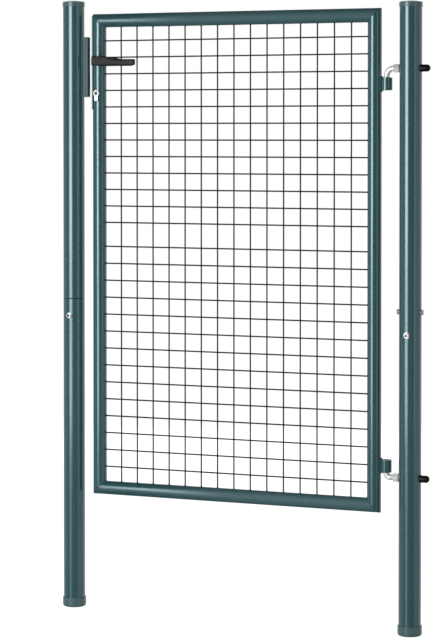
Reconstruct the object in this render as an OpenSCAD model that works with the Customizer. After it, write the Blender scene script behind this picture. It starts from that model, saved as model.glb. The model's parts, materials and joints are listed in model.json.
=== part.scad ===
// Pedestrian gate: one mesh-filled tube leaf hung between two round posts.
// Origin: centre of the hinge post's foot, on the ground. +X runs from the latch post to the
// hinge post, -Y is the front, +Z is up. Millimetres.

/* [Posts] */
// Outside diameter of the post tube
post_d = 60; // [54:1:66]
// Wall of the post tube
post_wall = 2; // [1.5:0.5:3]
// Height of the hinge post from the ground to the top of its cap
hinge_post_h = 1686; // [1650:1:1900]
// Height of the latch post from the ground to the top of its cap
latch_post_h = 1707; // [1650:1:1900]
// Height of the seam of the hinge post
hinge_seam_z = 831; // [800:1:870]
// Height of the seam of the latch post
latch_seam_z = 871; // [830:1:900]
// Length of the inner tube that joins the halves of a post
joint_sleeve_len = 160; // [140:5:220]
// Wall of the inner joining tube
joint_sleeve_wall = 2.5; // [1.5:0.5:4]
// Bevel on the ends of the post tubes
tube_bevel = 1.2; // [0.4:0.1:1.4]

/* [Post ends] */
// Outside diameter of the foot cup
foot_d = 65.5; // [64:0.5:74]
// Height of the foot cup
foot_h = 27; // [20:1:40]
// Thickness of the floor of the foot cup
foot_floor = 4; // [3:0.5:8]
// Radius of the lower edge of the foot cup
foot_edge_r = 6; // [1:0.5:7]
// Bevel on the upper edge of the foot cup
foot_rim_bevel = 1.2; // [0.4:0.2:1.6]
// Thickness of the skirt of the top cap
cap_skirt_t = 1; // [0.8:0.1:2]
// Height of the top cap
cap_h = 17; // [12:1:30]
// Rise of the dome of the top cap
cap_dome = 4; // [2:0.5:6]
// Thickness of the top cap over the tube's end, at its rim
cap_lid_t = 1.5; // [1:0.5:4]

/* [Joint bolts] */
// Diameter of the joint bolts
joint_bolt_d = 8; // [6:1:10]
// Width across the flats of the bolt heads and nuts
joint_head_af = 13; // [11:1:16]
// Height of the bolt heads and nuts
joint_head_h = 5; // [4:0.5:7]
// Width of the chamfer on the corners of heads and nuts
hex_chamfer = 1; // [0.4:0.2:1.4]
// Diameter of the washers
joint_washer_d = 17; // [15:1:20]
// Thickness of the washers
joint_washer_t = 1.6; // [1:0.2:2.4]
// Distance of the front bolt below the seam of the hinge post
hinge_front_bolt_drop = 30; // [25:1:45]
// Distance of the cross bolt above the seam of the hinge post
hinge_cross_bolt_rise = 30; // [25:1:45]
// Distance of the front bolt below the seam of the latch post
latch_front_bolt_drop = 48; // [30:1:55]

/* [Leaf] */
// Width of the leaf over its stiles
leaf_w = 852; // [780:1:1000]
// Height of the leaf over its rails
leaf_h = 1346; // [1290:1:1400]
// Distance from the top of the lower post down to the top of the leaf
leaf_drop = 18; // [10:1:60]
// Outside diameter of the frame tube
frame_d = 38; // [36:1:42]
// Wall of the frame tube
frame_wall = 1.5; // [1:0.25:2]
// Gap between the latch stile and the latch post
latch_gap = 32; // [28:1:40]
// Gap between the hinge stile and the hinge post
hinge_gap = 52; // [50:1:70]

/* [Mesh] */
// Thickness of the mesh wires, across their flats
wire_t = 3.5; // [3:0.25:5]
// Spacing of the upright wires
mesh_pitch_x = 48.7; // [40:0.1:60]
// Spacing of the level wires above the wide gap
upper_pitch_z = 46.1; // [40:0.1:60]
// Spacing of the level wires below the wide gap
lower_pitch_z = 47.5; // [40:0.1:60]
// Height of the wide gap between the level wires
wide_gap_h = 67; // [40:0.5:90]
// Distance from the top of the leaf down to the middle of the wide gap
wide_gap_drop = 616; // [500:1:800]
// Least distance from the frame to the first wire
mesh_end_min = 30; // [20:1:40]
// Depth that crossing wires are welded into each other
weld_sink = 0.8; // [0.4:0.1:1.2]

/* [Hinges] */
// Diameter of the hinge bolts
rod_d = 16; // [12:1:16]
// Radius of the bend of the upper hinge bolt, on the centre line
upper_bend_r = 20; // [12:0.5:20]
// Radius of the bend of the lower hinge bolt, on the centre line
lower_bend_r = 12; // [11:0.5:14]
// Outside diameter of the hinge sleeves
sleeve_d = 30; // [26:1:34]
// Height of the hinge sleeves
sleeve_h = 34; // [28:1:44]
// Bevel on the ends of the hinge sleeves and of the hinge bolts
sleeve_bevel = 1; // [0.4:0.2:1.6]
// Width of the weld between a hinge sleeve and the stile
sleeve_web_w = 16; // [10:1:20]
// Distance of the weld from the ends of its sleeve
sleeve_web_inset = 3; // [1:0.5:6]
// Distance from the top of the leaf down to the upper hinge sleeve
upper_sleeve_drop = 185; // [150:1:260]
// Distance from the bottom of the leaf up to the lower hinge sleeve
lower_sleeve_rise = 109; // [80:1:200]
// Bare length of the upper pin between its sleeve and its bend
upper_pin_bare = 4; // [2:1:24]
// Distance of the pins' ends inside the hinge sleeves
pin_short = 2; // [0:0.5:6]
// Width across the flats of the hinge nuts
hinge_nut_af = 22; // [20:1:24]
// Length of the hinge nuts
hinge_nut_h = 16; // [10:0.5:16]
// Diameter of the black caps on the hinge bolts
bolt_cap_d = 20; // [19:1:24]
// Length of the black caps on the hinge bolts
bolt_cap_len = 24; // [20:1:34]
// Thickness of the end of the black caps
bolt_cap_end = 5; // [3:0.5:8]
// Rise of the dome of the black caps
bolt_cap_dome = 7; // [1:0.5:8]

/* [Lock] */
// Distance from the top of the leaf down to the handle's axis
handle_drop = 132; // [115:1:200]
// Distance from the handle's axis down to the key cylinder
cylinder_drop = 90; // [88:1:110]
// Length of the lock's face plate
face_len = 262; // [250:1:280]
// Width of the lock's face plate
face_w = 24; // [20:1:26]
// Thickness of the lock's face plate
face_t = 3; // [2:0.5:4]
// Distance that the face plate stands out from the stile's outer line
face_proud = 0.2; // [0:0.1:1]
// Distance from the key cylinder down to the end of the face plate
face_below = 45; // [40:1:60]
// Width of the lock case
case_w = 14.4; // [13:0.2:16]
// Depth of the lock case
case_depth = 30; // [29:0.5:31]
// Distance from the ends of the face plate to the lock case
case_inset = 17; // [12:1:20]
// Width of the latch bolt and of the dead bolt
bolt_w = 10; // [8:0.5:10]
// Height of the latch bolt
latch_h = 30; // [24:1:36]
// Distance of the latch bolt above the handle's axis
latch_rise = 26; // [24:1:30]
// Distance that the latch bolt stands out of the face plate when it is drawn back
latch_proud = 4; // [1:0.5:4.5]
// Height of the dead bolt
dead_h = 36; // [28:1:40]
// Distance of the dead bolt above the key cylinder
dead_rise = 34; // [30:1:38]
// Distance that the dead bolt stands out of the face plate when it is open
dead_proud = 1; // [0:0.5:3]
// Length of the latch bolt and the dead bolt inside the face plate
bolt_len = 10; // [8:0.5:10]
// Diameter of the round part of the key cylinder
key_d = 17; // [16:0.5:17.5]
// Width of the flat part of the key cylinder
key_w = 10; // [9:0.5:11]
// Height of the key cylinder
key_h = 30; // [28:0.5:34]
// Diameter of the core that the key turns
core_d = 12.5; // [11:0.5:13.5]
// Width of the groove round the core
core_groove_w = 0.6; // [0.4:0.1:0.8]
// Depth of the groove round the core
core_groove_depth = 0.8; // [0.4:0.1:1.2]
// Height of the key's slot
key_slot_h = 8; // [6:0.5:9]
// Width of the key's slot
key_slot_w = 2; // [1.4:0.2:2.6]
// Depth of the key's slot
key_slot_depth = 3; // [2:0.5:4]
// Distance that the key cylinder stands out of the stile on each side
key_proud = 5; // [2:0.5:8]

/* [Strike] */
// Distance that the strike stands out from the latch post
strike_out = 19; // [15:0.5:20]
// Width of the strike
strike_w = 14.4; // [14:0.2:20]
// Height of the strike
strike_h = 168; // [150:1:190]
// Height of the middle of the strike above the middle of the two bolts
strike_rise = -1; // [-6:1:6]
// Sheet thickness of the strike
strike_t = 2; // [1.5:0.1:2]
// Radius of the bends and corners of the strike
strike_bend_r = 3.5; // [2.5:0.5:5]
// Room round a bolt in its strike slot
strike_room = 3; // [2:0.5:4]

/* [Handle] */
// Length of the front lever from the handle's axis to its end
front_lever_len = 123; // [90:1:140]
// Length of the rear lever from the handle's axis to its end
rear_lever_len = 86; // [75:1:140]
// Height of a lever's bar
lever_h = 17; // [12:0.5:20]
// Depth of a lever's bar
lever_depth = 10.5; // [9:0.5:12]
// Height of the block at a lever's root
root_h = 26; // [24:1:32]
// Length of the root block from the handle's axis towards the bar
root_len = 37; // [24:1:40]
// Length of the root block behind the handle's axis
root_back = 9.5; // [9:0.5:16]
// Depth of the root block
root_depth = 13; // [12:0.5:20]
// Length of the slope from the root block down to the bar
slope_len = 31; // [10:1:32]
// Height of the slope at the root block
slope_h = 5; // [2:0.5:8]
// Radius of the corners of the levers, seen from the front
lever_corner_r = 3.5; // [1:0.5:5]
// Radius of the long edges of the levers
lever_edge_r = 2.5; // [1:0.5:4]
// Diameter of a lever's neck
neck_d = 16; // [14:0.5:17]
// Length of a lever's neck
neck_len = 12; // [11:0.5:14]
// Gap between the stile and the root block
handle_gap = 5; // [5:0.5:8]
// Side of the square spindle
spindle_w = 8; // [6:0.5:9]
// Distance from the end of the spindle's socket to the face of a lever
socket_cover = 3.5; // [2.5:0.5:6]

/* [Fits] */
// Clearance of pieces pushed over or into one another, on the radius
slide_fit = 0.15; // [0.1:0.05:0.3]
// Clearance of turning pins and bolts, on the radius
turn_fit = 0.3; // [0.2:0.05:0.5]
// Clearance between pieces that are welded or clamped together
seat_fit = 0.1; // [0.05:0.05:0.2]

/* [Hidden] */
$fn = 48;

// Colours
green = [0.16, 0.30, 0.30];
cap_green = [0.30, 0.38, 0.38];
wire_grey = [0.28, 0.30, 0.32];
zinc = [0.78, 0.80, 0.82];
black = [0.06, 0.06, 0.07];

// Overshoot of cutting shapes
eps = 1;

// Posts
post_r = post_d / 2;
post_bore_r = post_r - post_wall;
post_spacing = post_d + latch_gap + leaf_w + hinge_gap;
latch_post_x = -post_spacing;
hinge_cross_bolt_z = hinge_seam_z + hinge_cross_bolt_rise;
hinge_front_bolt_z = hinge_seam_z - hinge_front_bolt_drop;
latch_front_bolt_z = latch_seam_z - latch_front_bolt_drop;

// Leaf
frame_r = frame_d / 2;
leaf_top_z = min(hinge_post_h, latch_post_h) - leaf_drop;
leaf_bottom_z = leaf_top_z - leaf_h;
leaf_right_x = -post_r - hinge_gap;
leaf_left_x = leaf_right_x - leaf_w;
hinge_stile_x = leaf_right_x - frame_r;
latch_stile_x = leaf_left_x + frame_r;

// Mesh, between the tubes
mesh_w = leaf_w - 2 * frame_d - 2 * seat_fit;
mesh_h = leaf_h - 2 * frame_d - 2 * seat_fit;
mesh_mid_x = (hinge_stile_x + latch_stile_x) / 2;
mesh_mid_z = (leaf_top_z + leaf_bottom_z) / 2;
upright_count = floor((mesh_w - 2 * mesh_end_min) / mesh_pitch_x) + 1;
wide_gap_z = leaf_top_z - wide_gap_drop;
first_upper_z = wide_gap_z + wide_gap_h / 2;
first_lower_z = wide_gap_z - wide_gap_h / 2;
upper_limit_z = leaf_top_z - frame_d - mesh_end_min;
lower_limit_z = leaf_bottom_z + frame_d + mesh_end_min;
level_zs = [
    for (z = [first_upper_z : upper_pitch_z : upper_limit_z]) z,
    for (z = [first_lower_z : -lower_pitch_z : lower_limit_z]) z
];
wire_plane_y = (wire_t - weld_sink) / 2;

// Hinges
hinge_axis_x = leaf_right_x + sleeve_d / 2;
sleeve_bore_d = rod_d + 2 * turn_fit;
upper_sleeve_top_z = leaf_top_z - upper_sleeve_drop;
lower_sleeve_z = leaf_bottom_z + lower_sleeve_rise;
upper_leg_z = upper_sleeve_top_z + upper_pin_bare + upper_bend_r;
lower_leg_z = lower_sleeve_z - turn_fit - lower_bend_r;
upper_pin_len = upper_pin_bare + sleeve_h - pin_short;
lower_pin_len = turn_fit + sleeve_h - pin_short;
rod_end_x = post_r + turn_fit + bolt_cap_len - bolt_cap_end;
rod_hole_d = rod_d + 2 * turn_fit;

// Lock
handle_z = leaf_top_z - handle_drop;
key_z = handle_z - cylinder_drop;
face_bottom_z = key_z - face_below;
face_front_x = leaf_left_x - face_proud;
face_back_x = face_front_x + face_t;
case_bottom_z = face_bottom_z + case_inset;
case_h = face_len - 2 * case_inset;
latch_z = handle_z + latch_rise;
dead_z = key_z + dead_rise;
spindle_bore_d = spindle_w * sqrt(2) + 2 * turn_fit;

// Strike
strike_face_x = latch_post_x + post_r + strike_out;
strike_mid_z = (latch_z + dead_z) / 2 + strike_rise;
strike_slot_w = strike_w - 2 * strike_t;

// Handle
root_y = frame_r + handle_gap;
lever_face_y = root_y + root_depth;
spindle_len = 2 * (lever_face_y - socket_cover - slide_fit);
neck_hole_d = neck_d + 2 * turn_fit;

// Height of the tube's end under the cap of a post of a given height
function tube_top_z(height) = height - cap_dome - cap_lid_t;

// Round tube that stands on z0 and ends at z1, with bevelled outer edges
module post_tube(z0, z1) {
    rotate_extrude()
        polygon([
            [post_bore_r, z0], [post_r - tube_bevel, z0], [post_r, z0 + tube_bevel],
            [post_r, z1 - tube_bevel], [post_r - tube_bevel, z1], [post_bore_r, z1]
        ]);
}

// Cup under a post, with a rounded lower edge
module foot_cup() {
    outer_r = foot_d / 2;
    rotate_extrude()
        difference() {
            union() {
                square([outer_r - foot_edge_r, foot_h]);
                translate([0, foot_edge_r]) square([outer_r, foot_h - foot_edge_r]);
                translate([outer_r - foot_edge_r, foot_edge_r]) circle(r = foot_edge_r);
            }
            translate([-eps, foot_floor]) square([post_r + slide_fit + eps, foot_h]);
            translate([outer_r, foot_h])
                polygon([[0, -foot_rim_bevel], [eps, -foot_rim_bevel], [eps, eps], [-foot_rim_bevel, eps],
                    [-foot_rim_bevel, 0]]);
        }
}

// Domed cap over the top of a post of a given height
module top_cap(height) {
    outer_r = post_r + slide_fit + cap_skirt_t;
    dome_r = (outer_r * outer_r + cap_dome * cap_dome) / (2 * cap_dome);
    rotate_extrude()
        difference() {
            intersection() {
                translate([0, height - cap_h]) square([outer_r, cap_h]);
                translate([0, height - dome_r]) circle(r = dome_r, $fn = 360);
            }
            translate([-eps, height - cap_h - eps])
                square([post_r + slide_fit + eps, tube_top_z(height) - height + cap_h + eps]);
        }
}

// Inner tube that joins the halves of a post at its seam
module joint_sleeve(seam_z) {
    sleeve_r = post_bore_r - slide_fit;
    translate([0, 0, seam_z - joint_sleeve_len / 2])
        difference() {
            cylinder(r = sleeve_r, h = joint_sleeve_len);
            translate([0, 0, -eps])
                cylinder(r = sleeve_r - joint_sleeve_wall, h = joint_sleeve_len + 2 * eps);
        }
}

// Through hole for a joint bolt, along Y at height z
module joint_hole(z) {
    translate([0, 0, z]) rotate([90, 0, 0])
        cylinder(d = joint_bolt_d + 2 * turn_fit, h = post_d + 2 * eps, center = true);
}

// Hexagon that stands on z 0, its corners chamfered at the outer end
module chamfered_hex(af, height) {
    corner_r = af / 2 / cos(30);
    intersection() {
        cylinder(r = corner_r, h = height, $fn = 6);
        rotate_extrude()
            polygon([
                [0, -eps], [corner_r + eps, -eps], [corner_r + eps, height - hex_chamfer / 2 - eps / 2],
                [corner_r - hex_chamfer, height], [0, height]
            ]);
    }
}

// Joint bolt along Y through the post, with a washer and a hex on both sides
module joint_bolt() {
    washer_y = post_r + seat_fit;
    head_y = washer_y + joint_washer_t;
    rotate([90, 0, 0]) {
        cylinder(d = joint_bolt_d, h = 2 * head_y, center = true);
        for (side = [0, 1]) mirror([0, 0, side]) {
            translate([0, 0, washer_y]) cylinder(d = joint_washer_d, h = joint_washer_t);
            translate([0, 0, head_y]) chamfered_hex(joint_head_af, joint_head_h);
        }
    }
}

// Through hole for a hinge bolt, along X at height z
module rod_hole(z) {
    translate([0, 0, z]) rotate([0, 90, 0])
        cylinder(d = rod_hole_d, h = post_d + 2 * eps, center = true);
}

// Straight stretch of a hinge bolt along Z, bevelled at its far end
module rod_leg(length) {
    rotate_extrude()
        polygon([
            [0, 0], [rod_d / 2, 0], [rod_d / 2, length - sleeve_bevel],
            [rod_d / 2 - sleeve_bevel, length], [0, length]
        ]);
}

// Hinge bolt: a level leg through the post, a bend, and a pin that points up
module hinge_bolt(pin_len, bend_r) {
    translate([bend_r, 0, 0]) rotate([0, 90, 0])
        rod_leg(rod_end_x - hinge_axis_x - bend_r);
    translate([bend_r, 0, bend_r]) rotate([90, 0, 0]) rotate([0, 0, 180])
        rotate_extrude(angle = 90) translate([bend_r, 0]) circle(d = rod_d);
    translate([0, 0, bend_r]) rod_leg(pin_len);
}

// Hex nut on a hinge bolt, clamped against the post
module hinge_nut() {
    translate([-post_r - turn_fit, 0, 0]) rotate([0, -90, 0])
        difference() {
            rotate([0, 0, 30]) chamfered_hex(hinge_nut_af, hinge_nut_h);
            translate([0, 0, -eps]) cylinder(d = rod_d + 2 * slide_fit, h = hinge_nut_h + 2 * eps);
        }
}

// Black domed cap on the far end of a hinge bolt
module bolt_cap() {
    cap_r = bolt_cap_d / 2;
    dome_r = (cap_r * cap_r + bolt_cap_dome * bolt_cap_dome) / (2 * bolt_cap_dome);
    translate([post_r + turn_fit, 0, 0]) rotate([0, 90, 0])
        rotate_extrude()
            difference() {
                union() {
                    square([cap_r, bolt_cap_len - bolt_cap_dome]);
                    intersection() {
                        square([cap_r, bolt_cap_len]);
                        translate([0, bolt_cap_len - dome_r]) circle(r = dome_r, $fn = 120);
                    }
                }
                translate([-eps, -eps])
                    square([rod_d / 2 + slide_fit + eps, bolt_cap_len - bolt_cap_end + eps]);
            }
}

// Frame tube of a given length along Z, mitred at both ends, with its short side towards +X
module mitred_tube(length) {
    reach = frame_r + eps;
    intersection() {
        difference() {
            cylinder(d = frame_d, h = length);
            translate([0, 0, -eps]) cylinder(d = frame_d - 2 * frame_wall, h = length + 2 * eps);
        }
        rotate([90, 0, 0]) linear_extrude(height = frame_d + 2 * eps, center = true)
            polygon([
                [-reach, -eps], [-reach, length + eps],
                [reach, length - frame_d - eps], [reach, frame_d + eps]
            ]);
    }
}

// Outline of the key cylinder, round at its top and at the end of its tail, grown by a clearance
module key_outline(grow) {
    tail_y = (key_d + key_w) / 2 - key_h;
    circle(d = key_d + 2 * grow);
    translate([-key_w / 2 - grow, tail_y]) square([key_w + 2 * grow, -tail_y]);
    translate([0, tail_y]) circle(d = key_w + 2 * grow);
}

// Key cylinder body along Y, grown by a clearance
module key_body(length, grow) {
    translate([latch_stile_x, 0, key_z]) rotate([90, 0, 0])
        linear_extrude(height = length, center = true) key_outline(grow);
}

// Block of a lock bolt behind the face plate, grown by a clearance
module lock_bolt_block(z, height, proud, grow) {
    translate([face_front_x - proud, -bolt_w / 2 - grow, z - height / 2 - grow])
        cube([proud + face_t + bolt_len + grow, bolt_w + 2 * grow, height + 2 * grow]);
}

// Hinge sleeve welded to the hinge stile, standing on z
module hinge_sleeve(z) {
    difference() {
        union() {
            translate([hinge_axis_x, 0, z]) rotate_extrude()
                polygon([
                    [0, 0], [sleeve_d / 2 - sleeve_bevel, 0], [sleeve_d / 2, sleeve_bevel],
                    [sleeve_d / 2, sleeve_h - sleeve_bevel], [sleeve_d / 2 - sleeve_bevel, sleeve_h],
                    [0, sleeve_h]
                ]);
            translate([hinge_stile_x, -sleeve_web_w / 2, z + sleeve_web_inset])
                cube([hinge_axis_x - hinge_stile_x, sleeve_web_w, sleeve_h - 2 * sleeve_web_inset]);
        }
        translate([hinge_axis_x, 0, z - eps]) cylinder(d = sleeve_bore_d, h = sleeve_h + 2 * eps);
        translate([hinge_stile_x, 0, z - eps])
            cylinder(d = frame_d + 2 * seat_fit, h = sleeve_h + 2 * eps);
    }
}

// Rectangle with round corners, from its low corner
module round_rect(w, h, r) {
    translate([r, 0]) square([w - 2 * r, h]);
    translate([0, r]) square([w, h - 2 * r]);
    for (x = [r, w - r], y = [r, h - r]) translate([x, y]) circle(r = r);
}

// Bar along X with rounded long edges, cut to an outline that is seen from the front
module soft_bar(length, height, depth) {
    intersection() {
        translate([0, 0, -eps]) linear_extrude(height = depth + 2 * eps) children();
        rotate([90, 0, 90]) linear_extrude(height = length) round_rect(height, depth, lever_edge_r);
    }
}

// Lever of a given length on the front of the leaf, with its neck and the socket for the spindle
module lever(length) {
    bar_y = lever_face_y - lever_depth;
    translate([latch_stile_x, 0, handle_z]) rotate([90, 0, 0])
        difference() {
            union() {
                translate([0, 0, root_y - neck_len]) cylinder(d = neck_d, h = neck_len + eps);
                translate([-root_back, -root_h / 2, root_y])
                    soft_bar(root_back + root_len, root_h, root_depth)
                        round_rect(root_back + root_len, root_h, lever_corner_r);
                translate([-root_back, -root_h / 2, bar_y])
                    soft_bar(root_back + length, lever_h, lever_depth)
                        round_rect(root_back + length, lever_h, lever_corner_r);
                // slope between the root block and the bar
                translate([root_len, lever_h - root_h / 2, bar_y + lever_edge_r])
                    linear_extrude(height = lever_depth - 2 * lever_edge_r)
                        polygon([
                            [-lever_corner_r, -lever_edge_r], [slope_len, -lever_edge_r], [slope_len, 0],
                            [0, slope_h], [-lever_corner_r, slope_h]
                        ]);
            }
            translate([0, 0, (lever_face_y - socket_cover) / 2])
                cube([spindle_w + 2 * slide_fit, spindle_w + 2 * slide_fit, lever_face_y - socket_cover],
                    center = true);
        }
}

module hinge_post_lower_tube() {
    color(green) difference() {
        post_tube(foot_floor, hinge_seam_z);
        rod_hole(lower_leg_z);
        joint_hole(hinge_front_bolt_z);
    }
}

module hinge_post_upper_tube() {
    color(green) difference() {
        post_tube(hinge_seam_z, tube_top_z(hinge_post_h));
        rod_hole(upper_leg_z);
        rotate([0, 0, 90]) joint_hole(hinge_cross_bolt_z);
    }
}

module hinge_post_joint_sleeve() {
    color(zinc) difference() {
        joint_sleeve(hinge_seam_z);
        joint_hole(hinge_front_bolt_z);
        rotate([0, 0, 90]) joint_hole(hinge_cross_bolt_z);
    }
}

module hinge_post_cap() {
    color(cap_green) top_cap(hinge_post_h);
}

module hinge_post_foot() {
    color(cap_green) foot_cup();
}

module hinge_post_joint_bolts() {
    color(zinc) {
        translate([0, 0, hinge_front_bolt_z]) joint_bolt();
        translate([0, 0, hinge_cross_bolt_z]) rotate([0, 0, 90]) joint_bolt();
    }
}

module latch_post_lower_tube() {
    color(green) translate([latch_post_x, 0, 0]) difference() {
        post_tube(foot_floor, latch_seam_z);
        joint_hole(latch_front_bolt_z);
    }
}

module latch_post_upper_tube() {
    color(green) translate([latch_post_x, 0, 0]) post_tube(latch_seam_z, tube_top_z(latch_post_h));
}

module latch_post_joint_sleeve() {
    color(zinc) translate([latch_post_x, 0, 0]) difference() {
        joint_sleeve(latch_seam_z);
        joint_hole(latch_front_bolt_z);
    }
}

module latch_post_cap() {
    color(cap_green) translate([latch_post_x, 0, 0]) top_cap(latch_post_h);
}

module latch_post_foot() {
    color(cap_green) translate([latch_post_x, 0, 0]) foot_cup();
}

module latch_post_joint_bolt() {
    color(zinc) translate([latch_post_x, 0, latch_front_bolt_z]) joint_bolt();
}

module upper_hinge_bolt() {
    color(zinc) translate([hinge_axis_x, 0, upper_leg_z]) mirror([0, 0, 1])
        hinge_bolt(upper_pin_len, upper_bend_r);
}

module lower_hinge_bolt() {
    color(zinc) translate([hinge_axis_x, 0, lower_leg_z]) hinge_bolt(lower_pin_len, lower_bend_r);
}

module upper_hinge_nut() {
    color(zinc) translate([0, 0, upper_leg_z]) hinge_nut();
}

module lower_hinge_nut() {
    color(zinc) translate([0, 0, lower_leg_z]) hinge_nut();
}

module upper_bolt_cap() {
    color(black) translate([0, 0, upper_leg_z]) bolt_cap();
}

module lower_bolt_cap() {
    color(black) translate([0, 0, lower_leg_z]) bolt_cap();
}

// Plan of the strike from the post's axis to its outer face, with bent outer edges
module strike_plan(length, width, bend_r) {
    translate([0, -width / 2]) square([length - bend_r, width]);
    translate([0, bend_r - width / 2]) square([length, width - 2 * bend_r]);
    for (side = [-1, 1]) translate([length - bend_r, side * (width / 2 - bend_r)]) circle(r = bend_r);
}

// Folded strike on the latch post: a hollow box with one slot for each lock bolt
module strike_box() {
    bottom_z = strike_mid_z - strike_h / 2;
    reach = post_r + strike_out;
    color(green) difference() {
        translate([latch_post_x, 0, bottom_z]) linear_extrude(height = strike_h)
            strike_plan(reach, strike_w, strike_bend_r);
        translate([latch_post_x, 0, bottom_z + strike_t]) linear_extrude(height = strike_h - 2 * strike_t)
            strike_plan(reach - strike_t, strike_slot_w, strike_bend_r - strike_t);
        // round upper and lower corners
        for (end = [0, 1])
            translate([strike_face_x, 0, strike_mid_z]) mirror([0, 0, end])
                translate([-strike_bend_r, strike_w / 2 + eps, strike_h / 2 - strike_bend_r])
                    rotate([90, 0, 0]) linear_extrude(height = strike_w + 2 * eps) difference() {
                        square(strike_bend_r + eps);
                        circle(r = strike_bend_r);
                    }
        for (slot = [[latch_z, latch_h], [dead_z, dead_h]])
            translate([strike_face_x - strike_t - eps, -strike_slot_w / 2,
                    slot[0] - slot[1] / 2 - strike_room])
                cube([strike_t + 2 * eps, strike_slot_w, slot[1] + 2 * strike_room]);
        translate([latch_post_x, 0, bottom_z - eps])
            cylinder(r = post_r + seat_fit, h = strike_h + 2 * eps);
    }
}

module hinge_stile() {
    color(green) translate([hinge_stile_x, 0, leaf_bottom_z]) mirror([1, 0, 0]) mitred_tube(leaf_h);
}

module latch_stile() {
    color(green) difference() {
        translate([latch_stile_x, 0, leaf_bottom_z]) mitred_tube(leaf_h);
        // flat seat of the face plate
        translate([leaf_left_x - eps, -frame_r, face_bottom_z - seat_fit])
            cube([face_back_x - leaf_left_x + eps, frame_d, face_len + 2 * seat_fit]);
        // slot for the lock case
        translate([leaf_left_x - eps, -case_w / 2 - seat_fit, case_bottom_z - seat_fit])
            cube([frame_r, case_w + 2 * seat_fit, case_h + 2 * seat_fit]);
        translate([latch_stile_x, 0, handle_z]) rotate([90, 0, 0])
            cylinder(d = neck_hole_d, h = frame_d + 2 * eps, center = true);
        key_body(frame_d + 2 * eps, slide_fit);
    }
}

module top_rail() {
    color(green) translate([leaf_left_x, 0, leaf_top_z - frame_r])
        rotate([0, 90, 0]) mitred_tube(leaf_w);
}

module bottom_rail() {
    color(green) translate([leaf_left_x, 0, leaf_bottom_z + frame_r])
        rotate([0, 90, 0]) mirror([1, 0, 0]) mitred_tube(leaf_w);
}

// Welded mesh of six-sided wires, uprights behind and levels in front
module mesh_panel() {
    wire_d = wire_t / cos(30);
    color(wire_grey) {
        for (i = [0 : upright_count - 1])
            translate([mesh_mid_x + (i - (upright_count - 1) / 2) * mesh_pitch_x, wire_plane_y, mesh_mid_z])
                cylinder(d = wire_d, h = mesh_h, center = true, $fn = 6);
        for (z = level_zs)
            translate([mesh_mid_x, -wire_plane_y, z])
                rotate([0, 90, 0]) cylinder(d = wire_d, h = mesh_w, center = true, $fn = 6);
    }
}

module upper_hinge_sleeve() {
    color(green) hinge_sleeve(upper_sleeve_top_z - sleeve_h);
}

module lower_hinge_sleeve() {
    color(green) hinge_sleeve(lower_sleeve_z);
}

// Lock case behind the face plate, with the spindle's bore, the cylinder's cut and the bolts' pockets
module lock_case() {
    color(zinc) difference() {
        translate([face_back_x, -case_w / 2, case_bottom_z]) cube([case_depth, case_w, case_h]);
        translate([latch_stile_x, 0, handle_z]) rotate([90, 0, 0])
            cylinder(d = spindle_bore_d, h = case_w + 2 * eps, center = true);
        key_body(case_w + 2 * eps, slide_fit);
        lock_bolt_block(latch_z, latch_h, latch_proud, slide_fit);
        lock_bolt_block(dead_z, dead_h, dead_proud, slide_fit);
    }
}

module lock_faceplate() {
    color(zinc) difference() {
        translate([face_front_x, -face_w / 2, face_bottom_z]) cube([face_t, face_w, face_len]);
        lock_bolt_block(latch_z, latch_h, latch_proud, slide_fit);
        lock_bolt_block(dead_z, dead_h, dead_proud, slide_fit);
    }
}

// Latch bolt, drawn back, with a slanted head that leads from the front
module latch_bolt() {
    tip_x = face_front_x - latch_proud;
    tail_x = face_back_x + bolt_len;
    color(zinc) translate([0, 0, latch_z]) linear_extrude(height = latch_h, center = true)
        polygon([
            [tail_x, -bolt_w / 2], [tail_x, bolt_w / 2],
            [tip_x, bolt_w / 2], [tip_x + latch_proud, -bolt_w / 2]
        ]);
}

module dead_bolt() {
    color(zinc) lock_bolt_block(dead_z, dead_h, dead_proud, 0);
}

// Key cylinder with a core and a key's slot at both ends
module profile_cylinder() {
    end_y = frame_r + key_proud;
    color(zinc) difference() {
        key_body(2 * end_y, 0);
        for (side = [0, 1]) mirror([0, side, 0])
            translate([latch_stile_x, -end_y, key_z]) rotate([-90, 0, 0]) {
                translate([0, 0, -eps]) difference() {
                    cylinder(d = core_d + 2 * core_groove_w, h = core_groove_depth + eps);
                    translate([0, 0, -eps]) cylinder(d = core_d, h = core_groove_depth + 3 * eps);
                }
                translate([-key_slot_w / 2, -key_slot_h / 2, -eps])
                    cube([key_slot_w, key_slot_h, key_slot_depth + eps]);
            }
    }
}

module front_lever() {
    color(black) lever(front_lever_len);
}

module rear_lever() {
    color(black) mirror([0, 1, 0]) lever(rear_lever_len);
}

module handle_spindle() {
    color(zinc) translate([latch_stile_x, 0, handle_z])
        cube([spindle_w, spindle_len, spindle_w], center = true);
}

hinge_post_lower_tube();
hinge_post_upper_tube();
hinge_post_joint_sleeve();
hinge_post_cap();
hinge_post_foot();
hinge_post_joint_bolts();
latch_post_lower_tube();
latch_post_upper_tube();
latch_post_joint_sleeve();
latch_post_cap();
latch_post_foot();
latch_post_joint_bolt();
upper_hinge_bolt();
lower_hinge_bolt();
upper_hinge_nut();
lower_hinge_nut();
upper_bolt_cap();
lower_bolt_cap();
strike_box();
hinge_stile();
latch_stile();
top_rail();
bottom_rail();
mesh_panel();
upper_hinge_sleeve();
lower_hinge_sleeve();
lock_case();
lock_faceplate();
latch_bolt();
dead_bolt();
profile_cylinder();
front_lever();
rear_lever();
handle_spindle();
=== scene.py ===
"""Looks of a garden gate: painted tubes, welded mesh, zinc hinges, a lever lock and two posts."""

import json
import math

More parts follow.
